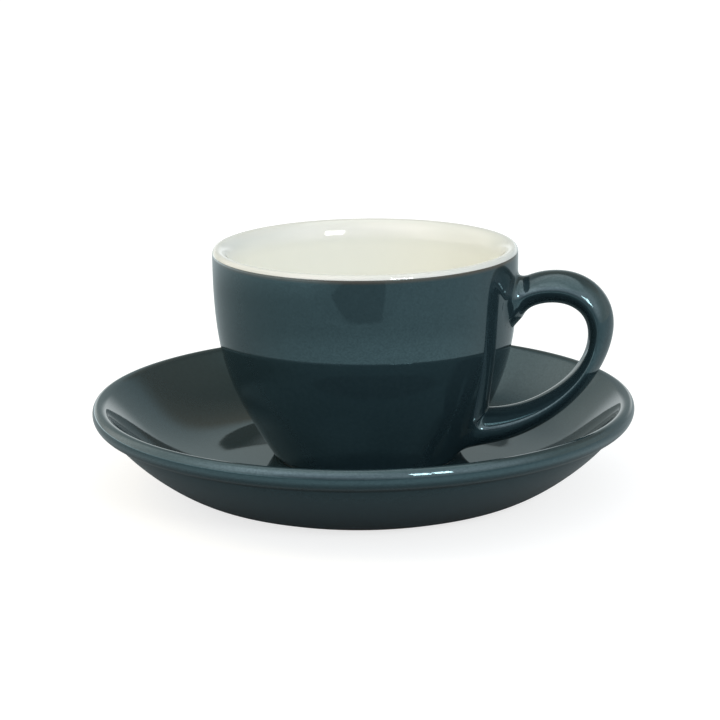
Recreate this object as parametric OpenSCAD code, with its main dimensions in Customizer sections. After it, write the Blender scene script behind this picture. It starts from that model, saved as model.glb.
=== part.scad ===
// Espresso cup with saucer, in glazed stoneware
//
// The saucer stands on the plane z = 0 with its axis through the origin. The cup stands
// on the saucer's well, with its handle towards +X.
// Every outline runs with the clay on its left: up the outside, over the rim and down the
// inside. The clay is each outline moved inwards by the thickness of the glaze, so that a
// coat and the clay under it share one surface. The feet are left bare.

/* [Saucer] */
// Outer diameter of the saucer
saucer_d = 120; // [112:1:130]
// Height of the saucer's rim above the table
saucer_h = 19.8; // [18.6:0.2:22]
// Diameter of the flat well that the cup stands in
well_d = 61; // [56:1:66]
// Height of the well above the table
well_h = 6.8; // [6.2:0.1:7.4]
// Outer diameter of the saucer's foot ring
saucer_foot_d = 73; // [68:0.5:75]
// Width of the saucer's foot ring
saucer_foot_w = 3.4; // [2.6:0.1:4.5]
// Height at which the underside leaves the foot ring
saucer_foot_h = 0.9; // [0.7:0.1:1.4]
// Depth of the hollow inside the saucer's foot ring
saucer_recess = 2; // [1.6:0.1:2.4]
// Distance from the foot ring to the start of the underside
underside_gap = 2.1; // [1.5:0.1:3]
// Slope of the underside where it starts, in degrees
underside_angle = 15; // [8:1:22]
// Length of the underside's pull along its starting slope
underside_pull = 5.7; // [4:0.1:8]
// Slope of the underside where it meets the rim bead, in degrees
underside_end_angle = 58; // [50:1:64]
// Length of the underside's pull along its end slope
underside_end_pull = 5.8; // [4:0.1:8]
// Slope of the inside just under the rim, in degrees
inside_angle = 43.5; // [40:0.5:50]
// Length of the inside's pull along that slope
inside_pull = 10.5; // [8:0.5:12]
// Length of the inside's pull along the well
well_pull = 13; // [9:0.5:15]

/* [Saucer rim bead] */
// Height of the bead below its widest line
bead_low_h = 2.85; // [2.2:0.05:3.4]
// Height of the bead above its widest line
bead_top_h = 1.95; // [1.5:0.05:2.5]
// Width of the bead's underside, from its widest line inwards
bead_low_w = 3.2; // [2.6:0.1:4]
// Width of the bead's top, from its widest line to its crest
bead_top_w = 1.4; // [1.1:0.1:2]
// Radius of the rounding from the crest to the inside
bead_inner_r = 2.5; // [1.6:0.1:3]

/* [Cup] */
// How far the cup stands off the saucer's axis, towards its handle
cup_shift = 0.8; // [0:0.1:3]
// Outer diameter of the cup at its rim
cup_d = 67; // [62:0.5:74]
// Height of the cup from its foot to its rim
cup_h = 47; // [44:0.2:54]
// Thickness of the cup's wall
cup_wall = 4; // [3:0.1:4.6]
// Thickness of the cup's floor
cup_floor = 4; // [3.4:0.1:5.5]
// Outer diameter of the cup's foot ring
cup_foot_d = 40.8; // [38:0.2:41]
// Width of the cup's foot ring
cup_foot_w = 3; // [2.4:0.1:4]
// Height at which the flank leaves the foot ring
cup_foot_h = 0.8; // [0.5:0.1:1.2]
// Depth of the hollow inside the cup's foot ring
cup_recess = 0.9; // [0.7:0.1:1.4]
// Diameter of the cup where the flank starts
flank_d = 42; // [41:0.1:44]
// Slope of the flank where it starts, in degrees
flank_angle = 58; // [52:1:62]
// Length of the flank's pull along its starting slope
flank_pull = 17; // [14:0.5:19]
// Lean of the wall at the rim, in degrees, towards the axis
rim_angle = 0.5; // [0:0.5:3]
// Length of the flank's pull along the wall at the rim
rim_pull = 24; // [21:0.5:26]
// Radius of the flat part of the cup's floor
floor_flat_r = 9; // [6:0.5:11]
// Length of the inside's pull along the floor
floor_pull = 7; // [5:0.5:9]
// Length of the inside's pull down the wall
inner_pull = 5; // [3:0.5:7]

/* [Cup lip] */
// Width of the lip's outer rounding
lip_outer_w = 1; // [0.7:0.1:1.6]
// Height of the lip's outer rounding
lip_outer_h = 1.4; // [1:0.1:2]
// Height of the lip's softer inner rounding
lip_inner_h = 5; // [3.5:0.5:6]

/* [Handle] */
// How far the handle stands out from the cup's rim
handle_reach = 20.6; // [18:0.2:24]
// Height of the handle's top above the cup's foot
handle_top_h = 42.6; // [40:0.1:44.5]
// Distance of the handle's highest line from the cup's rim
handle_top_gap = 8.6; // [7.6:0.2:10]
// Height of the handle's outermost line above the cup's foot
handle_out_h = 30; // [28:0.2:33]
// Height of the upper root above the cup's foot
upper_root_h = 34.6; // [32:0.1:36.5]
// Height of the lower root above the cup's foot
lower_root_h = 7.1; // [5.5:0.1:8.5]
// Depth of the upper root's middle under the cup's surface
upper_root_depth = 1.3; // [0.8:0.1:2]
// Depth of the lower root's middle under the cup's surface
lower_root_depth = 1.8; // [1:0.1:2.5]
// Direction in which the handle leaves the upper root, in degrees above level
upper_root_angle = 49; // [40:1:55]
// Direction in which the handle leaves the lower root, in degrees above level
lower_root_angle = -2; // [-6:1:6]
// Length of the curve's pull at the upper root
upper_root_pull = 4; // [2.5:0.1:5.5]
// Length of the curve's pull on the inner side of the top
top_inner_pull = 3.9; // [2.5:0.1:5]
// Length of the curve's pull on the outer side of the top
top_outer_pull = 5.7; // [4.5:0.1:7]
// Length of the curve's pull above the outermost line
out_upper_pull = 5.3; // [4:0.1:6.5]
// Length of the curve's pull below the outermost line
out_lower_pull = 11.7; // [9:0.1:14]
// Length of the curve's pull at the lower root
lower_root_pull = 13.8; // [11:0.1:16]
// Width of the handle from side to side
handle_w = 11; // [9:0.2:13]
// How far the handle's faces are flattened towards the ridge on each side, zero for an ellipse
handle_ridge_share = 0.25; // [0:0.05:0.5]
// Thickness of the handle at its upper root
upper_root_t = 6.4; // [5.5:0.1:7.5]
// Thickness of the handle a quarter of the way along
top_t = 7.1; // [6:0.1:8]
// Thickness of the handle half way along
grip_t = 4.7; // [4.2:0.1:6]
// Thickness of the handle three quarters of the way along
low_t = 6; // [5:0.1:7]
// Thickness of the handle at its lower root
lower_root_t = 8.6; // [7:0.1:9.5]
// Growth of the handle's thickness where it flares into the wall
flare_t = 0.6; // [0.3:0.1:1]
// Growth of the handle's width where it flares into the wall
flare_w = 2; // [1:0.1:3]
// Length of each flare along the handle
flare_length = 5; // [3:0.5:7]

/* [Glaze] */
// Thickness of the glaze
glaze_t = 0.4; // [0.25:0.05:0.5]
// Height of bare clay left at the bottom of each foot ring
bare_foot_h = 0.35; // [0.2:0.05:0.5]

/* [Hidden] */

$fn = 96;
// Number of straight steps in a long curve, a middling one and a short one
long_steps = 20;
mid_steps = 10;
short_steps = 5;
// Steps in each quarter of the lip, and the step of the outer one at which the cream lining ends
lip_steps = 9;
lining_edge_step = 2;
// Step along the flank, counted from the foot, below which the inside turns into the floor
inner_turn_step = 5;
// Number of sides of the handle's section
handle_sides = 20;
// How far the handle's ends and the cutting shapes run past the surfaces that they cut
overrun = 6;

slate = [0.20, 0.27, 0.29];
cream = [0.90, 0.89, 0.82];
clay = [0.80, 0.76, 0.70];

// Vectors and curves
function unit(v) = v / norm(v);
function left_of(v) = [-v.y, v.x];
function heading(angle) = [cos(angle), sin(angle)];
function cubic(a, b, c, d, t) =
    pow(1 - t, 3) * a + 3 * pow(1 - t, 2) * t * b + 3 * (1 - t) * pow(t, 2) * c + pow(t, 3) * d;
function curve(a, b, c, d, steps) = [for (i = [0 : steps]) cubic(a, b, c, d, i / steps)];
function arc(centre, radii, from, to, steps) =
    [for (i = [0 : steps])
        let (angle = from + (to - from) * i / steps)
        centre + [radii.x * cos(angle), radii.y * sin(angle)]];

// Lists of points
function reversed(points) = [for (i = [len(points) - 1 : -1 : 0]) points[i]];
function span_of(points, first, last) = [for (i = [first : last]) points[i]];
function without_first(points) = span_of(points, 1, len(points) - 1);
function last_of(points) = points[len(points) - 1];
function direction_at(points, i) = unit(points[min(i + 1, len(points) - 1)] - points[max(i - 1, 0)]);
function inset(points, depth) =
    [for (i = [0 : len(points) - 1]) points[i] + depth * left_of(direction_at(points, i))];
function coat(points) = concat(points, reversed(inset(points, glaze_t)));

// Hollow inside a foot ring, from the axis down to the edge of its glaze
function recess_outline(ring_r, base_h, depth) =
    concat(
        [[0, base_h + depth]],
        curve([ring_r - depth, base_h + depth], [ring_r, base_h + depth], [ring_r, base_h + depth],
              [ring_r, base_h + bare_foot_h], short_steps)
    );

// Outlines of the saucer
saucer_ring_r = saucer_foot_d / 2;
saucer_recess_outline = recess_outline(saucer_ring_r - saucer_foot_w, 0, saucer_recess);

underside_start = [saucer_ring_r + underside_gap, saucer_foot_h];
bead_widest = [saucer_d / 2, saucer_h - bead_top_h];
bead_corner = bead_widest - [bead_low_w, bead_low_h];
bead_crest = [saucer_d / 2 - bead_top_w, saucer_h];
saucer_foot_edge = curve([saucer_ring_r, bare_foot_h], [saucer_ring_r, saucer_foot_h],
    underside_start - underside_gap / 2 * heading(underside_angle), underside_start, short_steps);
underside = curve(underside_start, underside_start + underside_pull * heading(underside_angle),
    bead_corner - underside_end_pull * heading(underside_end_angle), bead_corner, long_steps);
bead_low = arc([bead_corner.x, bead_widest.y], [bead_low_w, bead_low_h], -90, 0, mid_steps);
bead_top = arc([bead_crest.x, bead_widest.y], [bead_top_w, bead_top_h], 0, 90, mid_steps);
bead_inner = arc(bead_crest - [0, bead_inner_r], [bead_inner_r, bead_inner_r], 90, 90 + inside_angle,
    short_steps);
inside_top = last_of(bead_inner);
well_edge = [well_d / 2, well_h];
saucer_inside = curve(inside_top, inside_top - inside_pull * heading(inside_angle),
    well_edge + [well_pull, 0], well_edge, long_steps);
saucer_outline = concat(
    saucer_foot_edge,
    without_first(underside),
    without_first(bead_low),
    without_first(bead_top),
    without_first(bead_inner),
    without_first(saucer_inside),
    [[0, well_h]]
);

// Outlines of the cup
cup_ring_r = cup_foot_d / 2;
cup_recess_outline = recess_outline(cup_ring_r - cup_foot_w, well_h, cup_recess);

lip_crest = [cup_d / 2 - lip_outer_w, well_h + cup_h];
flank_start = [flank_d / 2, well_h + cup_foot_h];
flank_top = [cup_d / 2, lip_crest.y - lip_outer_h];
cup_foot_edge = curve([cup_ring_r, well_h + bare_foot_h], [cup_ring_r, flank_start.y],
    flank_start - (flank_start.x - cup_ring_r) * heading(flank_angle), flank_start, short_steps);
flank = curve(flank_start, flank_start + flank_pull * heading(flank_angle),
    flank_top - rim_pull * heading(90 + rim_angle), flank_top, long_steps);
lip_outer = arc([lip_crest.x, flank_top.y], [lip_outer_w, lip_outer_h], 0, 90, lip_steps);
inner_face = inset(flank, cup_wall);
lip_inner_low = lip_crest.y - lip_inner_h;
inner_low_r = lookup(lip_inner_low, [for (p = inner_face) [p.y, p.x]]);
lip_inner = arc([lip_crest.x, lip_inner_low], [lip_crest.x - inner_low_r, lip_inner_h], 90, 180, lip_steps);
inner_wall = [for (i = [long_steps : -1 : inner_turn_step])
    if (inner_face[i].y < lip_inner_low - glaze_t) inner_face[i]];
inner_turn = last_of(inner_wall);
cup_floor_h = well_h + cup_recess + cup_floor;
inner_turn_curve = curve(inner_turn, inner_turn - inner_pull * direction_at(flank, inner_turn_step),
    [floor_flat_r + floor_pull, cup_floor_h], [floor_flat_r, cup_floor_h], mid_steps);
cup_outer_outline = concat(
    cup_foot_edge,
    without_first(flank),
    span_of(lip_outer, 1, lining_edge_step)
);
cup_outline = concat(
    cup_outer_outline,
    span_of(lip_outer, lining_edge_step + 1, lip_steps),
    without_first(lip_inner),
    inner_wall,
    without_first(inner_turn_curve),
    [[0, cup_floor_h]]
);
cup_clay_outline = inset(cup_outline, glaze_t);
lining_start = len(cup_outer_outline) - 1;

// Radius of the cup's outside at a height above the table
flank_table = [for (p = flank) [p.y, p.x]];
function cup_r_at(z) = lookup(z, flank_table);

// Middle line of the handle, in the XZ plane, from the upper root to the lower one
upper_root_z = well_h + upper_root_h;
lower_root_z = well_h + lower_root_h;
upper_root = [cup_r_at(upper_root_z) - upper_root_depth, upper_root_z];
lower_root = [cup_r_at(lower_root_z) - lower_root_depth, lower_root_z];
handle_top = [cup_d / 2 + handle_top_gap, well_h + handle_top_h - top_t / 2];
handle_out = [cup_d / 2 + handle_reach - grip_t / 2, well_h + handle_out_h];
handle_upper = curve(upper_root, upper_root + upper_root_pull * heading(upper_root_angle),
    handle_top - [top_inner_pull, 0], handle_top, mid_steps);
handle_turn = curve(handle_top, handle_top + [top_outer_pull, 0],
    handle_out + [0, out_upper_pull], handle_out, mid_steps);
handle_lower = curve(handle_out, handle_out - [0, out_lower_pull],
    lower_root + lower_root_pull * heading(lower_root_angle), lower_root, long_steps);
handle_line = concat(
    [upper_root - overrun * heading(upper_root_angle)],
    handle_upper,
    without_first(handle_turn),
    without_first(handle_lower),
    [lower_root - overrun * heading(lower_root_angle)]
);
handle_last = len(handle_line) - 1;

// Distance along the middle line, zero at the upper root
line_steps = [for (i = [0 : handle_last]) i < 2 ? 0 : norm(handle_line[i] - handle_line[i - 1])];
line_at = [for (i = 0, sum = 0; i <= handle_last; i = i + 1, sum = sum + (i <= handle_last ? line_steps[i] : 0)) sum];
line_length = line_at[handle_last - 1];

// Thickness along the handle, on a smooth curve through the named ones
thicknesses = [upper_root_t, top_t, grip_t, low_t, lower_root_t];
function through(values, share) =
    let (
        spans = len(values) - 1,
        place = min(max(share, 0), 1) * spans,
        i = min(floor(place), spans - 1),
        t = place - i,
        before = values[max(i - 1, 0)],
        from = values[i],
        to = values[i + 1],
        after = values[min(i + 2, spans)]
    )
    cubic(from, from + (to - before) / 6, to - (after - from) / 6, to, t);
function flare_at(i) =
    let (nearest = max(0, min(line_at[i], line_length - line_at[i])))
    pow(max(0, 1 - nearest / flare_length), 2);

// One section of the handle, an ellipse with a soft ridge on each side, square to the middle line
function handle_ring(i, depth) =
    let (
        across = left_of(direction_at(handle_line, i)),
        half_t = through(thicknesses, line_at[i] / line_length) / 2 + flare_t * flare_at(i) - depth,
        half_w = handle_w / 2 + flare_w * flare_at(i) - depth
    )
    [for (k = [0 : handle_sides - 1])
        let (
            angle = 360 * k / handle_sides,
            p = handle_line[i] + half_t * cos(angle) * (1 - handle_ridge_share * pow(sin(angle), 2)) * across
        )
        [p.x, half_w * sin(angle), p.y]];

module handle_loop(depth) {
    points = [for (i = [0 : handle_last]) each handle_ring(i, depth)];
    sides = [
        for (i = [0 : handle_last - 1])
            for (k = [0 : handle_sides - 1])
                let (
                    next = (k + 1) % handle_sides,
                    here = i * handle_sides,
                    there = here + handle_sides
                )
                each [
                    [here + k, here + next, there + k],
                    [here + next, there + next, there + k]
                ]
    ];
    first_end = [for (k = [handle_sides - 1 : -1 : 0]) k];
    last_end = [for (k = [0 : handle_sides - 1]) handle_last * handle_sides + k];
    polyhedron(points = points, faces = concat([first_end], sides, [last_end]), convexity = 4);
}

// The cup and its handle stand where the saucer carries them
module on_saucer() {
    translate([cup_shift, 0, 0]) children();
}

// The cup's clay as one filled shape, to cut the handle to the wall
module filled_cup() {
    wall = span_of(cup_clay_outline, 0, lining_start + lip_steps - lining_edge_step);
    rotate_extrude()
        polygon(concat([[0, wall[0].y]], wall, [[0, last_of(wall).y]]));
}

module saucer_body() {
    recess = inset(saucer_recess_outline, glaze_t);
    outside = inset(saucer_outline, glaze_t);
    color(clay)
        rotate_extrude()
            polygon(concat(recess, [[last_of(recess).x, 0], [outside[0].x, 0]], outside));
}

module saucer_glaze() {
    color(slate) {
        rotate_extrude() polygon(coat(saucer_outline));
        rotate_extrude() polygon(coat(saucer_recess_outline));
    }
}

module cup_body() {
    recess = inset(cup_recess_outline, glaze_t);
    foot = [[last_of(recess).x, well_h], [cup_clay_outline[0].x, well_h]];
    color(clay)
        on_saucer()
            rotate_extrude()
                polygon(concat(recess, foot, cup_clay_outline));
}

module cup_lining() {
    last = len(cup_outline) - 1;
    color(cream)
        on_saucer()
            rotate_extrude()
                polygon(concat(
                    span_of(cup_outline, lining_start, last),
                    reversed(span_of(cup_clay_outline, lining_start, last))
                ));
}

module cup_glaze() {
    color(slate)
        on_saucer() {
            difference() {
                rotate_extrude()
                    polygon(concat(
                        cup_outer_outline,
                        reversed(span_of(cup_clay_outline, 0, lining_start))
                    ));
                handle_loop(0);
            }
            rotate_extrude() polygon(coat(cup_recess_outline));
        }
}

module handle_body() {
    color(clay)
        on_saucer()
            difference() {
                handle_loop(glaze_t);
                filled_cup();
            }
}

module handle_glaze() {
    color(slate)
        on_saucer()
            difference() {
                handle_loop(0);
                handle_loop(glaze_t);
                filled_cup();
            }
}

saucer_body();
saucer_glaze();
cup_body();
cup_lining();
cup_glaze();
handle_body();
handle_glaze();
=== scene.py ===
"""Espresso cup with saucer: the look of its glazes and clay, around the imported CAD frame."""
import math

import bpy
import numpy as np
from mathutils import Matrix, Vector


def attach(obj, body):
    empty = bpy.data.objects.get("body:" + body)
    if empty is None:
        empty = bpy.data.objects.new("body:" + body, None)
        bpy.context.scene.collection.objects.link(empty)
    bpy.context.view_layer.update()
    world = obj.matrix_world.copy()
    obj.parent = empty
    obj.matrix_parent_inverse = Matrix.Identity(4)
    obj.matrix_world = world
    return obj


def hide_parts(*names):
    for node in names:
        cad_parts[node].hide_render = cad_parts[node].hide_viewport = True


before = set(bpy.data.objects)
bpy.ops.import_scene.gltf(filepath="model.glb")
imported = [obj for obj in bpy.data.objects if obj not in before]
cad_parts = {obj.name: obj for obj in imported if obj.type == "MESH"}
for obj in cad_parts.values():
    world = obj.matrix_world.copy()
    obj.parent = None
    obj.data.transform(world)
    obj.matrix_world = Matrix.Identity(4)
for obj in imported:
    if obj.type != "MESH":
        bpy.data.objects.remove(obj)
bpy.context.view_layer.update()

MM = 0.001

# Camera, fitted to the photograph. Lengths are in millimetres, angles in radians and the clip in metres.
CAMERA_DISTANCE = 530.0
CAMERA_ELEVATION = 0.292
CAMERA_AZIMUTH = math.radians(11.0)
CAMERA_ROLL = -0.012
CAMERA_AIM_SIDE = -0.615
CAMERA_AIM_HEIGHT = 27.9
PIXELS_ACROSS = 720
FOCAL_PIXELS = 2358.0
SENSOR_WIDTH = 36.0
CLIP_START = 0.01
CLIP_END = 50.0

# Sizes of the CAD model that the finer meshes follow, in millimetres and degrees
SAUCER_D = 120.0
SAUCER_H = 19.8
WELL_D = 61.0
WELL_H = 6.8
SAUCER_FOOT_D = 73.0
SAUCER_FOOT_W = 3.4
SAUCER_FOOT_H = 0.9
SAUCER_RECESS = 2.0
UNDERSIDE_GAP = 2.1
UNDERSIDE_ANGLE = 15.0
UNDERSIDE_PULL = 5.7
UNDERSIDE_END_ANGLE = 58.0
UNDERSIDE_END_PULL = 5.8
INSIDE_ANGLE = 43.5
INSIDE_PULL = 10.5
WELL_PULL = 13.0
BEAD_LOW_H = 2.85
BEAD_TOP_H = 1.95
BEAD_LOW_W = 3.2
BEAD_TOP_W = 1.4
BEAD_INNER_R = 2.5
# The glaze rounds the corner between the saucer's underside and its bead, within this distance of it
CREASE_R = 0.4
CREASE_PULL_SHARE = 0.7

CUP_SHIFT = 0.8
CUP_D = 67.0
CUP_H = 47.0
CUP_WALL = 4.0
CUP_FLOOR = 4.0
CUP_FOOT_D = 40.8
CUP_FOOT_W = 3.0
CUP_FOOT_H = 0.8
CUP_RECESS = 0.9
FLANK_D = 42.0
FLANK_ANGLE = 58.0
FLANK_PULL = 17.0
RIM_ANGLE = 0.5
RIM_PULL = 24.0
LIP_OUTER_W = 1.0
LIP_OUTER_H = 1.4
LIP_INNER_H = 5.0
LINING_EDGE_ANGLE = 20.0
FLOOR_FLAT_R = 9.0
FLOOR_PULL = 7.0
INNER_PULL = 5.0
INNER_TURN_SHARE = 0.25
# The lip's inside starts this far above the end of the wall's outline
LIP_JOIN_GAP = 0.2

HANDLE_REACH = 20.6
HANDLE_TOP_H = 42.6
HANDLE_TOP_GAP = 8.6
HANDLE_OUT_H = 30.0
UPPER_ROOT_H = 34.6
LOWER_ROOT_H = 7.1
UPPER_ROOT_DEPTH = 1.3
LOWER_ROOT_DEPTH = 1.8
UPPER_ROOT_ANGLE = 49.0
LOWER_ROOT_ANGLE = -2.0
UPPER_ROOT_PULL = 4.0
TOP_INNER_PULL = 3.9
TOP_OUTER_PULL = 5.7
OUT_UPPER_PULL = 5.3
OUT_LOWER_PULL = 11.7
LOWER_ROOT_PULL = 13.8
HANDLE_W = 11.0
HANDLE_RIDGE_SHARE = 0.25
HANDLE_THICKNESSES = (6.4, 7.1, 4.7, 6.0, 8.6)
FLARE_T = 0.6
FLARE_W = 2.0
FLARE_LENGTH = 5.0
# How far the handle's middle line runs on into the clay at each root
ROOT_RUN = 6.0

GLAZE_T = 0.4
# Height above a foot's bottom at which the glaze ends
BARE_FOOT_H = 0.2

# Fineness of the meshes
AROUND = 192
LONG_STEPS = 60
MID_STEPS = 24
SHORT_STEPS = 12
WELL_STEPS = 9
FEW_STEPS = 6
HANDLE_AROUND = 64
HANDLE_ALONG = 110
FILLET_STEPS = 12
HALVINGS = 40
NEAR_ZERO = 1e-6


def heading(angle):
    """Unit direction at an angle in degrees."""
    return np.array([math.cos(math.radians(angle)), math.sin(math.radians(angle))])


def curve(a, b, c, d, steps):
    """Points of the cubic curve from a to d that is pulled towards b and c."""
    t = np.linspace(0.0, 1.0, steps + 1)[:, None]
    a, b, c, d = (np.asarray(p, float) for p in (a, b, c, d))
    return (1 - t) ** 3 * a + 3 * (1 - t) ** 2 * t * b + 3 * (1 - t) * t ** 2 * c + t ** 3 * d


def arc(centre, radii, start, end, steps):
    """Points of a part of an ellipse, between two angles in degrees."""
    angle = np.radians(np.linspace(start, end, steps + 1))
    return np.asarray(centre, float) + np.stack([radii[0] * np.cos(angle), radii[1] * np.sin(angle)], 1)


def directions(points):
    """Unit direction of an outline at each of its points."""
    ahead = np.vstack([points[1:], points[-1:]])
    behind = np.vstack([points[:1], points[:-1]])
    step = ahead - behind
    return step / np.linalg.norm(step, axis=1)[:, None]


def inset(points, depth):
    """The outline moved to its left, which is into the clay."""
    along = directions(points)
    return points + depth * np.stack([-along[:, 1], along[:, 0]], 1)


def joined(*pieces):
    """One outline from pieces that each start where the last one ended."""
    out = [np.asarray(pieces[0], float)]
    for piece in pieces[1:]:
        piece = np.asarray(piece, float)
        if np.linalg.norm(piece[0] - out[-1][-1]) < NEAR_ZERO:
            piece = piece[1:]
        out.append(piece)
    return np.vstack(out)


def recess_outline(ring_r, base_h, depth):
    """The hollow inside a foot ring, from the axis to where the glaze ends on the ring."""
    roof = base_h + depth
    roof_edge = [ring_r - depth, roof]
    corner = [ring_r, roof]
    return joined(
        [[0.0, roof], [ring_r / 2, roof], roof_edge],
        curve(roof_edge, corner, corner, [ring_r, base_h + BARE_FOOT_H], SHORT_STEPS),
    )


def level_line(radius, height, steps):
    """Points from a radius to the axis, all at one height."""
    return np.stack([np.linspace(radius, 0.0, steps + 1), np.full(steps + 1, height)], 1)


def saucer_outline():
    """The saucer's glazed outside, from the foot ring round the bead to the middle of the well."""
    ring_r = SAUCER_FOOT_D / 2
    under = np.array([ring_r + UNDERSIDE_GAP, SAUCER_FOOT_H])
    widest = np.array([SAUCER_D / 2, SAUCER_H - BEAD_TOP_H])
    corner = widest - [BEAD_LOW_W, BEAD_LOW_H]
    crest = np.array([SAUCER_D / 2 - BEAD_TOP_W, SAUCER_H])
    foot_edge = curve([ring_r, BARE_FOOT_H], [ring_r, SAUCER_FOOT_H],
                      under - UNDERSIDE_GAP / 2 * heading(UNDERSIDE_ANGLE), under, SHORT_STEPS)
    underside = curve(under, under + UNDERSIDE_PULL * heading(UNDERSIDE_ANGLE),
                      corner - UNDERSIDE_END_PULL * heading(UNDERSIDE_END_ANGLE), corner, LONG_STEPS)
    bead_low = arc([corner[0], widest[1]], [BEAD_LOW_W, BEAD_LOW_H], -90, 0, MID_STEPS)
    underside = underside[np.linalg.norm(underside - corner, axis=1) > CREASE_R]
    bead_low = bead_low[np.linalg.norm(bead_low - corner, axis=1) > CREASE_R]
    crease = curve(underside[-1], underside[-1] + CREASE_PULL_SHARE * (corner - underside[-1]),
                   bead_low[0] + CREASE_PULL_SHARE * (corner - bead_low[0]), bead_low[0], SHORT_STEPS)
    bead_top = arc([crest[0], widest[1]], [BEAD_TOP_W, BEAD_TOP_H], 0, 90, MID_STEPS)
    bead_inner = arc(crest - [0, BEAD_INNER_R], [BEAD_INNER_R] * 2, 90, 90 + INSIDE_ANGLE, SHORT_STEPS)
    top = bead_inner[-1]
    well_edge = np.array([WELL_D / 2, WELL_H])
    inside = curve(top, top - INSIDE_PULL * heading(INSIDE_ANGLE),
                   well_edge + [WELL_PULL, 0], well_edge, LONG_STEPS)
    well = level_line(WELL_D / 2, WELL_H, WELL_STEPS)
    return joined(foot_edge, underside, crease, bead_low, bead_top, bead_inner, inside, well)


def cup_flank():
    """The cup's outside from above its foot to below its lip."""
    start = np.array([FLANK_D / 2, WELL_H + CUP_FOOT_H])
    top = np.array([CUP_D / 2, WELL_H + CUP_H - LIP_OUTER_H])
    return curve(start, start + FLANK_PULL * heading(FLANK_ANGLE),
                 top - RIM_PULL * heading(90 + RIM_ANGLE), top, LONG_STEPS)


def cup_outlines():
    """The slate outside, from the foot to the lining's edge, and the cream lining, from there to the axis."""
    ring_r = CUP_FOOT_D / 2
    flank = cup_flank()
    start = flank[0]
    foot_edge = curve([ring_r, WELL_H + BARE_FOOT_H], [ring_r, start[1]],
                      start - (start[0] - ring_r) * heading(FLANK_ANGLE), start, SHORT_STEPS)
    crest = np.array([CUP_D / 2 - LIP_OUTER_W, WELL_H + CUP_H])
    lip_centre = [crest[0], flank[-1][1]]
    lip_below = arc(lip_centre, [LIP_OUTER_W, LIP_OUTER_H], 0, LINING_EDGE_ANGLE, FEW_STEPS)
    lip_above = arc(lip_centre, [LIP_OUTER_W, LIP_OUTER_H], LINING_EDGE_ANGLE, 90, MID_STEPS)
    inner = inset(flank, CUP_WALL)
    low_z = WELL_H + CUP_H - LIP_INNER_H
    inner_w = crest[0] - np.interp(low_z, inner[:, 1], inner[:, 0])
    lip_inner = arc([crest[0], low_z], [inner_w, LIP_INNER_H], 90, 180, 2 * MID_STEPS)
    first = int(round(INNER_TURN_SHARE * LONG_STEPS))
    wall = np.array([p for p in inner[first:] if p[1] < low_z - LIP_JOIN_GAP])[::-1]
    along = directions(flank)[first]
    floor_h = WELL_H + CUP_RECESS + CUP_FLOOR
    turn = curve(wall[-1], wall[-1] - INNER_PULL * along, [FLOOR_FLAT_R + FLOOR_PULL, floor_h],
                 [FLOOR_FLAT_R, floor_h], MID_STEPS)
    floor = level_line(FLOOR_FLAT_R, floor_h, FEW_STEPS - 1)
    outside = joined(foot_edge, flank, lip_below)
    lining = joined(lip_above, lip_inner, wall, turn, floor)
    return outside, lining


def make_mesh(name, points, faces, material, smooth=True):
    """A mesh object from points in millimetres."""
    mesh = bpy.data.meshes.new(name)
    mesh.from_pydata((np.asarray(points) * MM).tolist(), [], faces)
    mesh.validate()
    mesh.materials.append(material)
    mesh.polygons.foreach_set("use_smooth", [smooth] * len(mesh.polygons))
    mesh.update()
    piece = bpy.data.objects.new(name, mesh)
    bpy.context.scene.collection.objects.link(piece)
    return piece


def revolve(loop, shift=0.0):
    """Points and faces of a closed outline turned about the Z axis. Points on the axis become poles."""
    turn = np.arange(AROUND) * 2 * math.pi / AROUND
    points, rows = [], []
    for radius, height in loop:
        if radius < NEAR_ZERO:
            rows.append([len(points)])
            points.append([shift, 0.0, height])
        else:
            rows.append(list(range(len(points), len(points) + AROUND)))
            ring = [shift + radius * np.cos(turn), radius * np.sin(turn), np.full(AROUND, height)]
            points.extend(np.stack(ring, 1).tolist())
    faces = []
    for low, high in zip(rows, rows[1:] + rows[:1]):
        for k in range(AROUND):
            n = (k + 1) % AROUND
            if len(low) > 1 and len(high) > 1:
                faces.append([low[k], low[n], high[n], high[k]])
            elif len(low) > 1:
                faces.append([low[k], low[n], high[0]])
            elif len(high) > 1:
                faces.append([low[0], high[n], high[k]])
    return points, faces


def coat(outline, depth=GLAZE_T):
    """An outline and the same outline moved into the clay, as one closed loop."""
    return np.vstack([outline, inset(outline, depth)[::-1]])


# The handle

FLANK = cup_flank()


def cup_r(height):
    """Radius of the cup's outside at a height."""
    return np.interp(height, FLANK[:, 1], FLANK[:, 0])


def cup_normal(point):
    """Unit normal of the cup's outside at a point on it."""
    rise = 0.2
    slope = (cup_r(point[2] + rise) - cup_r(point[2] - rise)) / (2 * rise)
    normal = np.array([point[0], point[1], 0.0]) / math.hypot(point[0], point[1])
    normal[2] = -slope
    return normal / np.linalg.norm(normal)


def onto_cup(point, sink=0.0):
    """The point moved level to the cup's outside, or this far into it."""
    scale = (cup_r(point[2]) - sink) / math.hypot(point[0], point[1])
    return np.array([point[0] * scale, point[1] * scale, point[2]])


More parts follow.
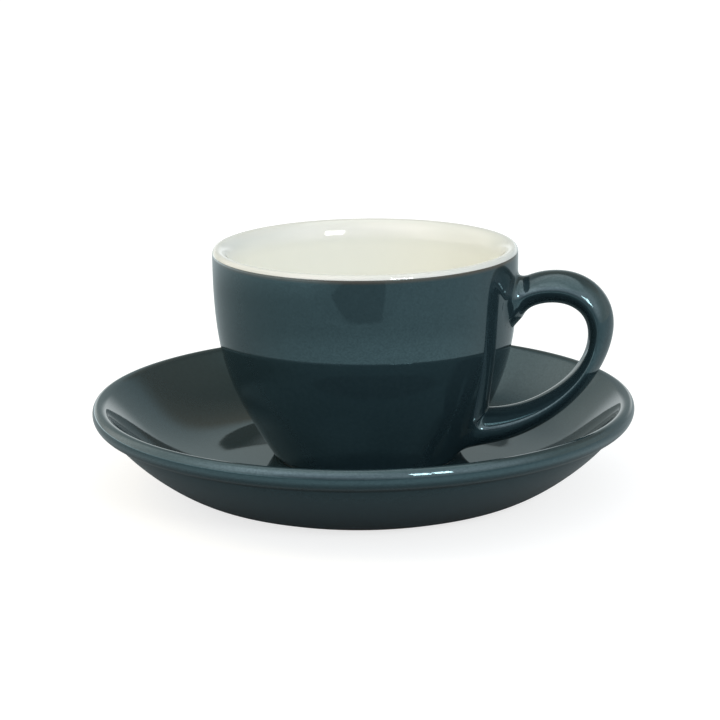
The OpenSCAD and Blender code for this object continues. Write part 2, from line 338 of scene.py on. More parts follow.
def handle_line():
    """The handle's middle line, which runs into the clay at both ends, with the distances along it and its
    length."""
    upper_z = WELL_H + UPPER_ROOT_H
    lower_z = WELL_H + LOWER_ROOT_H
    upper = np.array([cup_r(upper_z) - UPPER_ROOT_DEPTH, upper_z])
    lower = np.array([cup_r(lower_z) - LOWER_ROOT_DEPTH, lower_z])
    top = np.array([CUP_D / 2 + HANDLE_TOP_GAP, WELL_H + HANDLE_TOP_H - HANDLE_THICKNESSES[1] / 2])
    out = np.array([CUP_D / 2 + HANDLE_REACH - HANDLE_THICKNESSES[2] / 2, WELL_H + HANDLE_OUT_H])
    line = joined(
        [upper - ROOT_RUN * heading(UPPER_ROOT_ANGLE), upper],
        curve(upper, upper + UPPER_ROOT_PULL * heading(UPPER_ROOT_ANGLE),
              top - [TOP_INNER_PULL, 0], top, LONG_STEPS),
        curve(top, top + [TOP_OUTER_PULL, 0], out + [0, OUT_UPPER_PULL], out, LONG_STEPS),
        curve(out, out - [0, OUT_LOWER_PULL],
              lower + LOWER_ROOT_PULL * heading(LOWER_ROOT_ANGLE), lower, 2 * LONG_STEPS),
        [lower, lower - ROOT_RUN * heading(LOWER_ROOT_ANGLE)],
    )
    steps = np.linalg.norm(np.diff(line, axis=0), axis=1)
    at = np.concatenate([[0.0], np.cumsum(steps)]) - steps[0]
    return line, at, at[-2]


LINE, LINE_AT, LINE_LENGTH = handle_line()
LINE_ALONG = directions(LINE)


def thickness_at(distance):
    """Thickness of the handle, on a smooth curve through the named ones."""
    values = np.array(HANDLE_THICKNESSES)
    spans = len(values) - 1
    place = min(max(distance / LINE_LENGTH, 0.0), 1.0) * spans
    i = min(int(place), spans - 1)
    t = place - i
    before, start = values[max(i - 1, 0)], values[i]
    end, after = values[i + 1], values[min(i + 2, spans)]
    pulls = (start, start + (end - before) / 6, end - (after - start) / 6, end)
    weights = ((1 - t) ** 3, 3 * (1 - t) ** 2 * t, 3 * (1 - t) * t ** 2, t ** 3)
    return sum(w * p for w, p in zip(weights, pulls))


def handle_point(distance, angle):
    """Point of the handle's skin at a distance along it and an angle round it, from the cup's axis."""
    middle = np.array([np.interp(distance, LINE_AT, LINE[:, k]) for k in (0, 1)])
    along = np.array([np.interp(distance, LINE_AT, LINE_ALONG[:, k]) for k in (0, 1)])
    along /= np.linalg.norm(along)
    across = np.array([-along[1], along[0]])
    nearest = max(0.0, min(distance, LINE_LENGTH - distance))
    flare = max(0.0, 1 - nearest / FLARE_LENGTH) ** 2
    half_t = thickness_at(distance) / 2 + FLARE_T * flare
    half_w = HANDLE_W / 2 + FLARE_W * flare
    p = middle + half_t * math.cos(angle) * (1 - HANDLE_RIDGE_SHARE * math.sin(angle) ** 2) * across
    return np.array([p[0], half_w * math.sin(angle), p[1]])


# Distances before and after a root's end between which the handle's skin meets the cup's wall
SEARCH_INSIDE = 5.9
SEARCH_UPPER = 12.0
SEARCH_LOWER = 14.0


def wall_crossing(angle, upper):
    """Distance along the handle at which its skin meets the cup's wall."""
    if upper:
        low, high = -SEARCH_INSIDE, SEARCH_UPPER
    else:
        low, high = LINE_LENGTH - SEARCH_LOWER, LINE_LENGTH + SEARCH_INSIDE
    for _ in range(HALVINGS):
        middle = (low + high) / 2
        p = handle_point(middle, angle)
        inside = math.hypot(p[0], p[1]) < cup_r(p[2])
        if inside == upper:
            low = middle
        else:
            high = middle
    return (low + high) / 2


# Size of the fillets between the handle and the wall: at the sides, on the handle's outer side and on its
# inner side, and how sharply the one goes over into the other
FILLET_SIDE = 3.6
FILLET_OUTER = 2.4
FILLET_INNER = 0.5
FILLET_OUTER_POWER = 2
FILLET_INNER_POWER = 8
FILLET_PULL_SHARE = 0.62
FILLET_LEAST = 0.2
# Length of the skirt of glaze beyond a fillet, and how deep its edge and its end lie in the cup's glaze
FILLET_EDGE = 0.7
FILLET_SINK = 0.006
ROOT_SINK = 0.3
# Steps along and round the handle in which its directions are measured
STEP_ALONG = 0.05
STEP_ROUND = 0.01
# The lower root's fillets end above this height, which is just over the start of the cup's flank
FLANK_GAP = 0.15
FILLET_LOW_H = FLANK[0, 1] + FLANK_GAP


def fillet(angle, upper):
    """Points from the handle's skin, round the fillet, to just under the cup's skin."""
    sign = 1.0 if upper else -1.0
    crossing = wall_crossing(angle, upper)
    outer = math.cos(angle) > 0
    side = abs(math.sin(angle)) ** (FILLET_OUTER_POWER if outer else FILLET_INNER_POWER)
    end_size = FILLET_OUTER if outer else FILLET_INNER
    on_cup = end_size + (FILLET_SIDE - end_size) * side
    start_at = crossing + sign * on_cup
    start = handle_point(start_at, angle)
    towards = handle_point(start_at - sign * STEP_ALONG, angle) - start
    towards /= np.linalg.norm(towards)
    meet = handle_point(crossing, angle)
    normal = cup_normal(meet)
    around = handle_point(crossing, angle + STEP_ROUND) - handle_point(crossing, angle - STEP_ROUND)
    along = handle_point(crossing + STEP_ALONG, angle) - handle_point(crossing - STEP_ALONG, angle)
    skin = np.cross(around, along)
    centre = (handle_point(crossing, 0.0) + handle_point(crossing, math.pi)) / 2
    if np.dot(skin, meet - centre) < 0:
        skin = -skin
    away = skin - np.dot(skin, normal) * normal
    away /= np.linalg.norm(away)
    if away[2] < 0:
        room = (meet[2] - FILLET_LOW_H) / -away[2] - FILLET_EDGE
        on_cup = min(on_cup, max(FILLET_LEAST, room))
    end = onto_cup(meet + on_cup * away)
    end_normal = cup_normal(end)
    end_away = away - np.dot(away, end_normal) * end_normal
    end_away /= np.linalg.norm(end_away)
    reach_start = FILLET_PULL_SHARE * np.linalg.norm(meet - start)
    reach_end = FILLET_PULL_SHARE * np.linalg.norm(meet - end)
    rounded = curve(start, start + reach_start * towards, end - reach_end * end_away, end, FILLET_STEPS)
    edge = onto_cup(end + FILLET_EDGE * end_away, FILLET_SINK)
    root = onto_cup(end + FILLET_EDGE * end_away, ROOT_SINK)
    return start_at, np.vstack([rounded, edge, root])


def handle_mesh():
    """Points and faces of the handle's glaze, with its fillets and closed ends."""
    angles = np.arange(HANDLE_AROUND) * 2 * math.pi / HANDLE_AROUND
    columns = []
    for angle in angles:
        upper_at, upper = fillet(angle, True)
        lower_at, lower = fillet(angle, False)
        places = np.linspace(upper_at, lower_at, HANDLE_ALONG + 2)[1:-1]
        between = [handle_point(place, angle) for place in places]
        columns.append(np.vstack([upper[::-1], between, lower]))
    grid = np.stack(columns, 1)
    grid[:, :, 0] += CUP_SHIFT
    rows = len(grid)
    points = grid.reshape(-1, 3).tolist()
    faces = []
    for i in range(rows - 1):
        for k in range(HANDLE_AROUND):
            n = (k + 1) % HANDLE_AROUND
            a, b = i * HANDLE_AROUND, (i + 1) * HANDLE_AROUND
            faces.append([a + k, b + k, b + n, a + n])
    for row, step in ((0, 1), (rows - 1, -1)):
        ring = list(range(row * HANDLE_AROUND, (row + 1) * HANDLE_AROUND))
        centre = len(points)
        points.append(grid[row].mean(0).tolist())
        for k in range(HANDLE_AROUND):
            n = (k + 1) % HANDLE_AROUND
            faces.append([centre, ring[k], ring[n]][::step])
    return points, faces


# Materials

def new_material(name):
    """A material with a Principled shader, and what is needed to add nodes to it."""
    material = bpy.data.materials.new(name)
    material.use_nodes = True
    nodes, links = material.node_tree.nodes, material.node_tree.links
    nodes.clear()
    output = nodes.new("ShaderNodeOutputMaterial")
    shader = nodes.new("ShaderNodeBsdfPrincipled")
    links.new(shader.outputs["BSDF"], output.inputs["Surface"])
    return material, nodes, links, shader


def add_noise(nodes, links, place, scale, detail, roughness):
    noise = nodes.new("ShaderNodeTexNoise")
    noise.inputs["Scale"].default_value = scale
    noise.inputs["Detail"].default_value = detail
    noise.inputs["Roughness"].default_value = roughness
    links.new(place, noise.inputs["Vector"])
    return noise.outputs["Fac"]


def feed(links, socket, value):
    """A number, a vector, a colour or another node's output goes into a node's input."""
    if isinstance(value, bpy.types.NodeSocket):
        links.new(value, socket)
    elif socket.type == "RGBA":
        socket.default_value = (*value, 1.0)
    else:
        socket.default_value = value


def add_ramp(nodes, links, source, low, high, start, end):
    """A colour that goes from start to end while the source goes from low to high."""
    ramp = nodes.new("ShaderNodeValToRGB")
    for element, place, colour in zip(ramp.color_ramp.elements, (low, high), (start, end)):
        element.position = place
        element.color = (*colour, 1.0)
    links.new(source, ramp.inputs["Fac"])
    return ramp.outputs["Color"]


def add_mix(nodes, links, share, first, second):
    """The first colour where the share is zero and the second where it is one."""
    node = nodes.new("ShaderNodeMixRGB")
    for name, value in (("Fac", share), ("Color1", first), ("Color2", second)):
        feed(links, node.inputs[name], value)
    return node.outputs["Color"]


def add_math(nodes, links, operation, *values):
    """A math node. Each value is a number or another node's output."""
    node = nodes.new("ShaderNodeMath")
    node.operation = operation
    for socket, value in zip(node.inputs, values):
        feed(links, socket, value)
    return node.outputs["Value"]


def add_vector(nodes, links, operation, *values):
    """A vector math node's outputs. Each value is a tuple of numbers or another node's output."""
    node = nodes.new("ShaderNodeVectorMath")
    node.operation = operation
    for socket, value in zip(node.inputs, values):
        feed(links, socket, value)
    return node.outputs


def add_step(nodes, links, value, low, high, start=0.0, end=1.0):
    """A smooth step from start to end while the value goes from low to high."""
    node = nodes.new("ShaderNodeMapRange")
    node.interpolation_type = "SMOOTHSTEP"
    links.new(value, node.inputs["Value"])
    for name, number in (("From Min", low), ("From Max", high), ("To Min", start), ("To Max", end)):
        node.inputs[name].default_value = number
    return node.outputs["Result"]


def bearing(azimuth, elevation):
    """Unit direction from an azimuth, counted from the camera's side to its right, and an elevation."""
    turn, rise = CAMERA_AZIMUTH + math.radians(azimuth), math.radians(elevation)
    return (math.cos(rise) * math.sin(turn), -math.cos(rise) * math.cos(turn), math.sin(rise))


def add_dot(nodes, links, direction, azimuth, elevation):
    """Cosine of the angle between a direction and another, given by its azimuth and elevation."""
    return add_vector(nodes, links, "DOT_PRODUCT", direction, bearing(azimuth, elevation))["Value"]


def add_bump(nodes, links, shader, height, strength, distance):
    bump = nodes.new("ShaderNodeBump")
    bump.inputs["Strength"].default_value = strength
    bump.inputs["Distance"].default_value = distance
    links.new(height, bump.inputs["Height"])
    links.new(bump.outputs["Normal"], shader.inputs["Normal"])


def add_place(nodes, links):
    """A point's place in its piece, in metres, and its height alone."""
    place = nodes.new("ShaderNodeTexCoord").outputs["Object"]
    parts = nodes.new("ShaderNodeSeparateXYZ")
    links.new(place, parts.inputs["Vector"])
    return place, parts.outputs["Z"]


# A noise has its scale per metre, its detail and its roughness, and a bump its strength and depth in metres.
# Between these two strengths of a noise, a material goes from one shade or level to the other.
MOTTLE = (0.3, 0.7)

# The slate glaze is mottled between two shades, with long waves and with a fine grain in how much it mirrors
SLATE_SHADES = (0.0165, 0.0325, 0.0395), (0.0205, 0.0385, 0.0465)
SLATE_MOTTLE = (0.25, 0.75)
SLATE_NOISE = (900.0, 4.0, 0.6)
SLATE_WAVES = (260.0, 2.0, 0.5)
SLATE_BUMP = (0.08, 0.00005)
SLATE_GRAIN = (2600.0, 2.0, 0.6)
SLATE_MIRRORS = (0.40, 0.60)
SLATE_TINT = (0.60, 0.92, 1.0)
SLATE_ROUGHNESS = 0.045
SLATE_IOR = 1.6
# It thins to brown between two heights, up to its edge at the cream lining
THIN_COLOUR = (0.075, 0.055, 0.04)
THIN_HEIGHTS = (51.8, 52.7)
# Painted shade: the glaze is painted dark in the corner between the saucer's underside and its bead, where
# shade falls: this far above and below the corner, and outside of these radii
CREASE_SHADE_COLOUR = (0.004, 0.007, 0.008)
CORNER_H = SAUCER_H - BEAD_TOP_H - BEAD_LOW_H
CORNER_FADE = (0.2, 0.8)
CORNER_RADII = (53.0, 54.0)


def slate_glaze():
    material, nodes, links, shader = new_material("slate_glaze")
    place, height = add_place(nodes, links)
    mottle = add_noise(nodes, links, place, *SLATE_NOISE)
    colour = add_ramp(nodes, links, mottle, *SLATE_MOTTLE, *SLATE_SHADES)
    thinned = add_step(nodes, links, height, THIN_HEIGHTS[0] * MM, THIN_HEIGHTS[1] * MM)
    colour = add_mix(nodes, links, thinned, colour, THIN_COLOUR)
    # Painted shade in the corner between the saucer's underside and its bead
    off_corner = add_math(nodes, links, "SUBTRACT", height, CORNER_H * MM)
    off_corner = add_math(nodes, links, "ABSOLUTE", off_corner)
    near_corner = add_step(nodes, links, off_corner, CORNER_FADE[0] * MM, CORNER_FADE[1] * MM, 1.0, 0.0)
    level = add_vector(nodes, links, "MULTIPLY", place, (1.0, 1.0, 0.0))["Vector"]
    radius = add_vector(nodes, links, "LENGTH", level)["Value"]
    outside = add_step(nodes, links, radius, CORNER_RADII[0] * MM, CORNER_RADII[1] * MM)
    painted_crease_shade = add_math(nodes, links, "MULTIPLY", near_corner, outside)
    colour = add_mix(nodes, links, painted_crease_shade, colour, CREASE_SHADE_COLOUR)
    links.new(colour, shader.inputs["Base Color"])
    feed(links, shader.inputs["Roughness"], SLATE_ROUGHNESS)
    feed(links, shader.inputs["IOR"], SLATE_IOR)
    feed(links, shader.inputs["Specular Tint"], SLATE_TINT)
    add_bump(nodes, links, shader, add_noise(nodes, links, place, *SLATE_WAVES), *SLATE_BUMP)
    grain = add_noise(nodes, links, place, *SLATE_GRAIN)
    mirrors = add_step(nodes, links, grain, *MOTTLE, *SLATE_MIRRORS)
    links.new(mirrors, shader.inputs["Specular IOR Level"])
    return material


# Painted light and shade: the cream glaze is painted lighter inside the cup, where less light reaches, and
# darker on its rim, which catches more. It goes from the one to the other between two heights.
CREAM_RIM_PAINTED_SHADE = (0.765, 0.785, 0.75), (0.785, 0.80, 0.765)
CREAM_INSIDE_PAINTED_LIGHT = (0.888, 0.895, 0.84), (0.898, 0.905, 0.85)
CREAM_NOISE = (60.0, 3.0, 0.5)
CREAM_HEIGHTS = (47.5, 52.5)
CREAM_ROUGHNESS = 0.06
CREAM_IOR = 1.52


def cream_glaze():
    material, nodes, links, shader = new_material("cream_glaze")
    place, height = add_place(nodes, links)
    mottle = add_noise(nodes, links, place, *CREAM_NOISE)
    # Painted shade on the rim and painted light inside the cup
    rim = add_ramp(nodes, links, mottle, *MOTTLE, *CREAM_RIM_PAINTED_SHADE)
    inside = add_ramp(nodes, links, mottle, *MOTTLE, *CREAM_INSIDE_PAINTED_LIGHT)
    high = add_step(nodes, links, height, CREAM_HEIGHTS[0] * MM, CREAM_HEIGHTS[1] * MM)
    links.new(add_mix(nodes, links, high, inside, rim), shader.inputs["Base Color"])
    feed(links, shader.inputs["Roughness"], CREAM_ROUGHNESS)
    feed(links, shader.inputs["IOR"], CREAM_IOR)
    return material


CLAY_SHADES = (0.42, 0.36, 0.28), (0.58, 0.51, 0.42)
CLAY_GRAIN = (2500.0, 3.0, 0.7)
CLAY_BUMP = (0.5, 0.0001)
CLAY_ROUGHNESS = 0.85


def bare_clay():
    material, nodes, links, shader = new_material("bare_clay")
    place, _ = add_place(nodes, links)
    grain = add_noise(nodes, links, place, *CLAY_GRAIN)
    links.new(add_ramp(nodes, links, grain, *MOTTLE, *CLAY_SHADES), shader.inputs["Base Color"])
    feed(links, shader.inputs["Roughness"], CLAY_ROUGHNESS)
    add_bump(nodes, links, shader, grain, *CLAY_BUMP)
    return material


SLATE = slate_glaze()
CREAM = cream_glaze()
CLAY = bare_clay()


# Pieces

def dress(piece, body, slot, *nodes):
    """The piece rides with a body and stands for nodes of the frame."""
    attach(piece, body)
    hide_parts(*nodes)


def build_pieces():
    """The glazes of the saucer and the cup. The frame's own clay shows only at their feet."""
    saucer_coat = make_mesh("saucer_coat", *revolve(coat(saucer_outline())), SLATE)
    dress(saucer_coat, "saucer", "slate_glaze", "saucer_glaze")
    recess = recess_outline(SAUCER_FOOT_D / 2 - SAUCER_FOOT_W, 0.0, SAUCER_RECESS)
    under = make_mesh("saucer_under_coat", *revolve(coat(recess)), SLATE)
    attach(under, "saucer")

    outside, lining = cup_outlines()
    whole = joined(outside, lining)
    inner = inset(whole, GLAZE_T)
    split = len(outside) - 1
    slate_loop = np.vstack([whole[:split + 1], inner[:split + 1][::-1]])
    cream_loop = np.vstack([whole[split:], inner[split:][::-1]])
    cup_coat = make_mesh("cup_coat", *revolve(slate_loop, CUP_SHIFT), SLATE)
    dress(cup_coat, "cup", "slate_glaze", "cup_glaze")
    cup_lining = make_mesh("cup_lining_coat", *revolve(cream_loop, CUP_SHIFT), CREAM)
    dress(cup_lining, "cup", "cream_glaze", "cup_lining")
    recess = recess_outline(CUP_FOOT_D / 2 - CUP_FOOT_W, WELL_H, CUP_RECESS)
    base = make_mesh("cup_under_coat", *revolve(coat(recess), CUP_SHIFT), SLATE)
    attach(base, "cup")
    dress(make_mesh("handle_coat", *handle_mesh(), SLATE), "cup", "slate_glaze", "handle_glaze")

    for node in ("saucer_body", "cup_body", "handle_body"):
        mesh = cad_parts[node].data
        mesh.materials.clear()
        mesh.materials.append(CLAY)


# Camera

def place_camera():
    level = CAMERA_DISTANCE * math.cos(CAMERA_ELEVATION)
    eye = Vector((level * math.sin(CAMERA_AZIMUTH), -level * math.cos(CAMERA_AZIMUTH),
                  CAMERA_DISTANCE * math.sin(CAMERA_ELEVATION))) * MM
    aim = Vector((CAMERA_AIM_SIDE * math.cos(CAMERA_AZIMUTH), CAMERA_AIM_SIDE * math.sin(CAMERA_AZIMUTH),
                  CAMERA_AIM_HEIGHT)) * MM
    ahead = (aim - eye).normalized()
    right = ahead.cross(Vector((0, 0, 1))).normalized()
    up = right.cross(ahead)
    side = math.cos(CAMERA_ROLL) * right + math.sin(CAMERA_ROLL) * up
    top = -math.sin(CAMERA_ROLL) * right + math.cos(CAMERA_ROLL) * up
    data = bpy.data.cameras.new("camera")
    data.sensor_width = SENSOR_WIDTH
    data.lens = FOCAL_PIXELS * SENSOR_WIDTH / PIXELS_ACROSS
    data.clip_start = CLIP_START
    data.clip_end = CLIP_END
    camera = bpy.data.objects.new("camera", data)
    turned = Matrix((side, top, -ahead)).transposed().to_4x4()
    camera.matrix_world = Matrix.Translation(eye) @ turned
    bpy.context.scene.collection.objects.link(camera)
    bpy.context.scene.camera = camera


# The room as the glazes mirror it, in strengths against a white wall of 1. A grey wall is all round. Patches
# make it lighter or darker. Each has the azimuth and elevation of its middle in degrees, the cosines of the
# angles from there at which it starts and is full, the rises between which it comes in or fades, if it does,
# and the colour that it adds. A rise is the sine of an elevation.
WALL = (0.44, 0.50, 0.50)
ALL_ROUND = None
COMES_IN_LOW = (0.0, 0.38)
COMES_IN_HIGH = (0.4, 0.53)
FADES = (0.08, 0.25, 1.0, 0.0)
FRONT = ((0, 15), (0.0, 0.7), ALL_ROUND, (0.51, 0.42, 0.48))
FRONT_HIGH = ((0, 15), (0.0, 0.7), COMES_IN_LOW, (1.20, 1.05, 1.10))
BEHIND_HIGH = ((152, 38), (0.72, 0.9), COMES_IN_HIGH, (-0.14, -0.23, -0.28))
BEHIND_LEFT = ((-138, 20), (0.85, 0.98), ALL_ROUND, (0.18, 0.18, 0.15))
HORIZON = ((180, 0), (0.75, 0.95), FADES, (0.62, 0.62, 0.62))
LEFT = ((-88, 20), (0.5, 0.9), ALL_ROUND, (1.34, 1.19, 1.10))
RIGHT = ((65, 15), (0.3, 0.9), ALL_ROUND, (0.45, 0.37, 0.29))
CAMERA_SIDE = ((-12, -2), (0.87, 0.98), ALL_ROUND, (-0.20, -0.28, -0.28))
FRONT_LEFT_HIGH = ((-35, 55), (0.85, 0.97), ALL_ROUND, (1.10, 0.90, 0.90))
# A white ceiling comes in between two rises, over all patches but the last. Near an azimuth it comes in at a
# greater rise: from the first cosine to the second, the shift goes from the first number to the second.
CEILING = (1.80, 1.75, 1.70)
CEILING_RISES = (0.75, 0.88)
CEILING_SETBACK = (0.3, 0.55, 0.0, -0.095)
CEILING_SETBACK_AZIMUTH = 120
# The light that the room gives the object, and what the camera sees behind it
ROOM_COLOUR = (0.95, 0.98, 1.0)
ROOM_LIGHT = 0.76
WHITE = (1.0, 1.0, 1.0)


def add_patch(nodes, links, room, direction, rise, patch):
    """The room's colour with one patch added to it."""
    middle, cosines, rises, colour = patch
    strength = add_step(nodes, links, add_dot(nodes, links, direction, *middle), *cosines)
    if rises:
        strength = add_math(nodes, links, "MULTIPLY", strength, add_step(nodes, links, rise, *rises))
    return add_vector(nodes, links, "MULTIPLY_ADD", strength, colour, room)["Vector"]


def add_glow(nodes, links, kind, colour, strength):
    """An emission or a background of a colour and a strength."""
    node = nodes.new(kind)
    feed(links, node.inputs["Color"], colour)
    feed(links, node.inputs["Strength"], strength)
    return node.outputs[0]


def add_either(nodes, links, share, first, second):
    """The first shader where the share is zero and the second where it is one."""
    mix = nodes.new("ShaderNodeMixShader")
    links.new(share, mix.inputs["Fac"])
    links.new(first, mix.inputs[1])
    links.new(second, mix.inputs[2])
    return mix.outputs["Shader"]


def add_mirrored_ray(nodes, links, path):
    """One for the rays that metal, glaze or glass sends on, and zero for others."""
    return add_math(nodes, links, "MAXIMUM", path["Is Glossy Ray"], path["Is Transmission Ray"])


def add_world():
    world = bpy.data.worlds.new("world")
    bpy.context.scene.world = world
    world.use_nodes = True
    nodes, links = world.node_tree.nodes, world.node_tree.links
    nodes.clear()
    output = nodes.new("ShaderNodeOutputWorld")
    direction = nodes.new("ShaderNodeTexCoord").outputs["Generated"]
    path = nodes.new("ShaderNodeLightPath").outputs
    rise = add_dot(nodes, links, direction, 0, 90)
    base = nodes.new("ShaderNodeRGB")
    base.outputs["Color"].default_value = (*WALL, 1.0)
    room = base.outputs["Color"]
    for patch in (FRONT, FRONT_HIGH, BEHIND_HIGH, BEHIND_LEFT, HORIZON, LEFT, RIGHT, CAMERA_SIDE):
        room = add_patch(nodes, links, room, direction, rise, patch)
    setback = add_dot(nodes, links, direction, CEILING_SETBACK_AZIMUTH, 0)
    setback = add_step(nodes, links, setback, *CEILING_SETBACK)
    roofed = add_step(nodes, links, add_math(nodes, links, "ADD", rise, setback), *CEILING_RISES)
    room = add_mix(nodes, links, roofed, room, CEILING)
    room = add_patch(nodes, links, room, direction, rise, FRONT_LEFT_HIGH)

    mirrored = add_glow(nodes, links, "ShaderNodeBackground", room, 1.0)
    lit = add_glow(nodes, links, "ShaderNodeBackground", ROOM_COLOUR, ROOM_LIGHT)
    white = add_glow(nodes, links, "ShaderNodeBackground", WHITE, 1.0)
    unseen = add_either(nodes, links, add_mirrored_ray(nodes, links, path), lit, mirrored)
    seen = add_either(nodes, links, path["Is Camera Ray"], unseen, white)
    links.new(seen, output.inputs["Surface"])


# The floor as the glazes mirror it, a glow of painted light: dark under the saucer, a painted shadow, and
# lighter further out by rings. Each has the radii between which it comes in, in metres, and its strength.
FLOOR_COLOUR = (0.98, 1.12, 1.15)
FLOOR_UNDER = 0.02
FLOOR_RINGS = (
    (0.036, 0.058, 0.16),
    (0.056, 0.082, 0.34),
    (0.082, 0.18, 0.10),
)
# A brighter ring round the saucer, on the camera's side: the radii between which it comes in and its full
# strength, the radii between which it fades, and the cosines of the angles from the camera's azimuth between
# which it goes from nothing to full
BRIGHT_RING = (0.060, 0.082, 0.0, 0.32)
BRIGHT_RING_FADE = (0.10, 0.16, 1.0, 0.0)
BRIGHT_RING_COSINES = (-0.3, 0.7)
# Towards each of these azimuths the floor gets brighter by a share of itself, and away from it darker
FLOOR_SIDES = ((90, 0.16), (0, 0.14))
# It is darker by a share in a wedge behind on the right, with the cosines at which that starts and is full
FLOOR_BEHIND_AZIMUTH = 120
FLOOR_BEHIND_COSINES = (0.8, 0.96)
FLOOR_BEHIND = -0.22
# It is bright far out on the left, in a wider wedge
FAR_LEFT_AZIMUTH = -92
FAR_LEFT_COSINES = (0.2, 0.7)
FAR_LEFT_RING = (0.20, 0.48, 0.0, 1.5)
# A darker patch before the saucer and a fainter one round it, each with its share and with its corners, as
# distances to the right and towards the camera in millimetres
PATCH = (-0.38, ((-102, 232), (-38, 170), (32, 170), (72, 285), (80, 370), (-66, 370)))
PATCH_EDGE = (-0.08, ((-160, 210), (-65, 166), (52, 166), (84, 203), (135, 260), (150, 370), (-190, 370)))
PATCH_BLUR = 4.0
# The floor as the camera sees it: a grey that catches the shadow, and a glow that makes it white
FLOOR_REACH = 3000.0
PAPER_COLOUR = (0.45, 0.45, 0.45)
PAPER_GLOW = 0.75


def add_inside(nodes, links, place, corners):
    """One inside a polygon on the floor and zero outside it. The corners run against the clock from below."""
    inside = 1.0
    for start, end in zip(corners, corners[1:] + corners[:1]):
        along = math.atan2(end[1] - start[1], end[0] - start[0])
        across = (-math.sin(along), math.cos(along))
        azimuth = math.degrees(math.atan2(across[0], across[1]))
        edge = start[0] * across[0] + start[1] * across[1]
        past = add_step(nodes, links, add_dot(nodes, links, place, azimuth, 0),
                        (edge - PATCH_BLUR) * MM, (edge + PATCH_BLUR) * MM)
        inside = add_math(nodes, links, "MULTIPLY", past, inside)
    return inside


def add_floor_light(nodes, links):
    """How bright the glazes mirror the floor: painted light, with a painted shadow under the saucer."""
    place = nodes.new("ShaderNodeTexCoord").outputs["Object"]
    spread = add_vector(nodes, links, "LENGTH", place)["Value"]
    outward = add_vector(nodes, links, "NORMALIZE", place)["Vector"]
    light = FLOOR_UNDER
    for low, high, strength in FLOOR_RINGS:
        ring = add_step(nodes, links, spread, low, high, 0.0, strength)
        light = add_math(nodes, links, "ADD", ring, light)
    ring = add_math(nodes, links, "MULTIPLY", add_step(nodes, links, spread, *BRIGHT_RING),
                    add_step(nodes, links, spread, *BRIGHT_RING_FADE))
    near = add_step(nodes, links, add_dot(nodes, links, outward, 0, 0), *BRIGHT_RING_COSINES)
    light = add_math(nodes, links, "MULTIPLY_ADD", ring, near, light)
    shade = 1.0
    for strength, corners in (PATCH, PATCH_EDGE):
        inside = add_inside(nodes, links, place, corners)
        shade = add_math(nodes, links, "MULTIPLY_ADD", inside, strength, shade)
    light = add_math(nodes, links, "MULTIPLY", light, shade)
    turn = 1.0
    for azimuth, share in FLOOR_SIDES:
        turn = add_math(nodes, links, "MULTIPLY_ADD", add_dot(nodes, links, outward, azimuth, 0), share, turn)
    behind = add_dot(nodes, links, outward, FLOOR_BEHIND_AZIMUTH, 0)
    behind = add_step(nodes, links, behind, *FLOOR_BEHIND_COSINES)
    turn = add_math(nodes, links, "MULTIPLY_ADD", behind, FLOOR_BEHIND, turn)
    far_left = add_dot(nodes, links, outward, FAR_LEFT_AZIMUTH, 0)
    far_left = add_math(nodes, links, "MULTIPLY", add_step(nodes, links, spread, *FAR_LEFT_RING),
                        add_step(nodes, links, far_left, *FAR_LEFT_COSINES))
    return add_math(nodes, links, "MULTIPLY_ADD", light, turn, far_left)


def add_floor():
    material = bpy.data.materials.new("floor")
    material.use_nodes = True
    nodes, links = material.node_tree.nodes, material.node_tree.links
    nodes.clear()
    output = nodes.new("ShaderNodeOutputMaterial")
    path = nodes.new("ShaderNodeLightPath").outputs
    paper = nodes.new("ShaderNodeBsdfDiffuse")
    feed(links, paper.inputs["Color"], PAPER_COLOUR)
    glow = add_math(nodes, links, "MULTIPLY", path["Is Camera Ray"], PAPER_GLOW)
    plain = nodes.new("ShaderNodeAddShader")
    links.new(paper.outputs["BSDF"], plain.inputs[0])
    links.new(add_glow(nodes, links, "ShaderNodeEmission", WHITE, glow), plain.inputs[1])
    mirrored = add_glow(nodes, links, "ShaderNodeEmission", FLOOR_COLOUR, add_floor_light(nodes, links))
    either = add_either(nodes, links, add_mirrored_ray(nodes, links, path), plain.outputs["Shader"], mirrored)
    links.new(either, output.inputs["Surface"])
    signs = ((-1, -1), (1, -1), (1, 1), (-1, 1))
    corners = [[side * FLOOR_REACH, depth * FLOOR_REACH, 0] for side, depth in signs]
    floor = make_mesh("floor", corners, [[0, 1, 2, 3]], material, smooth=False)


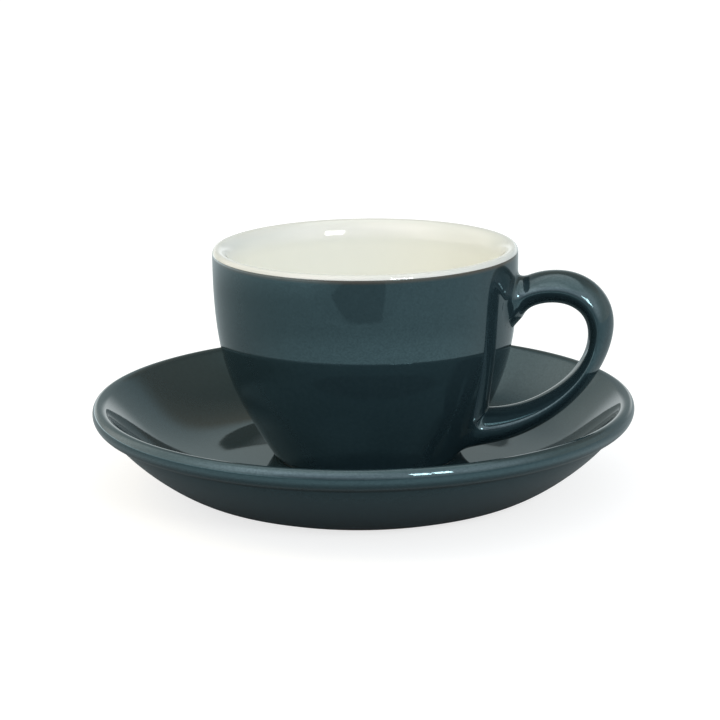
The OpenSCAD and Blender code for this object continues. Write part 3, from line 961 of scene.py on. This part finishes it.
# The window is four bright panes, in two columns and two rows, that only the glazes mirror. A soft lamp in
# its place gives its light, and a wide warm lamp on the left fills the shadows. Azimuths are counted from the
# camera's side to its right. Lengths are in millimetres and powers in watts.
WINDOW_AZIMUTH = 28.0
WINDOW_ELEVATION = 28.0
WINDOW_DISTANCE = 900.0
PANE_W = 108.0
PANE_H = 105.0
PANE_GAP = 22.0
PANE_POWER = 1.0
WINDOW_W = 260.0
WINDOW_H = 200.0
WINDOW_POWER = 1.8
WINDOW_COLOUR = (0.94, 0.99, 1.0)
FILL_AZIMUTH = -85.0
FILL_ELEVATION = 48.0
FILL_DISTANCE = 1000.0
FILL_SIZE = 500.0
FILL_POWER = 2.4
FILL_COLOUR = (1.0, 0.80, 0.40)


def add_lamp(name, direction, distance, size, power, colour, mirrored=False, sideways=0.0, upwards=0.0):
    """A flat lamp that faces the object. It is mirrored by the glazes, or lights them and isn't mirrored."""
    away = Vector(bearing(*direction))
    side = Vector((-away.y, away.x, 0)).normalized()
    up = away.cross(side)
    data = bpy.data.lights.new(name, "AREA")
    data.shape = "RECTANGLE"
    data.size = size[0] * MM
    data.size_y = size[1] * MM
    data.energy = power
    data.color = colour
    lamp = bpy.data.objects.new(name, data)
    lamp.location = (away * distance + side * sideways + up * upwards) * MM
    lamp.rotation_euler = (-lamp.location).to_track_quat("-Z", "Y").to_euler()
    lamp.visible_glossy = mirrored
    lamp.visible_diffuse = not mirrored
    bpy.context.scene.collection.objects.link(lamp)


def add_lamps():
    window = (WINDOW_AZIMUTH, WINDOW_ELEVATION)
    for column in (-0.5, 0.5):
        for row in (-0.5, 0.5):
            add_lamp(f"pane_{column}_{row}", window, WINDOW_DISTANCE, (PANE_W, PANE_H), PANE_POWER, WHITE,
                     True, column * (PANE_W + PANE_GAP), row * (PANE_H + PANE_GAP))
    add_lamp("window_light", window, WINDOW_DISTANCE, (WINDOW_W, WINDOW_H), WINDOW_POWER, WINDOW_COLOUR)
    add_lamp("fill", (FILL_AZIMUTH, FILL_ELEVATION), FILL_DISTANCE, (FILL_SIZE, FILL_SIZE),
             FILL_POWER, FILL_COLOUR)


place_camera()
build_pieces()
add_world()
add_floor()
add_lamps()
bpy.context.scene.view_settings.view_transform = "Standard"
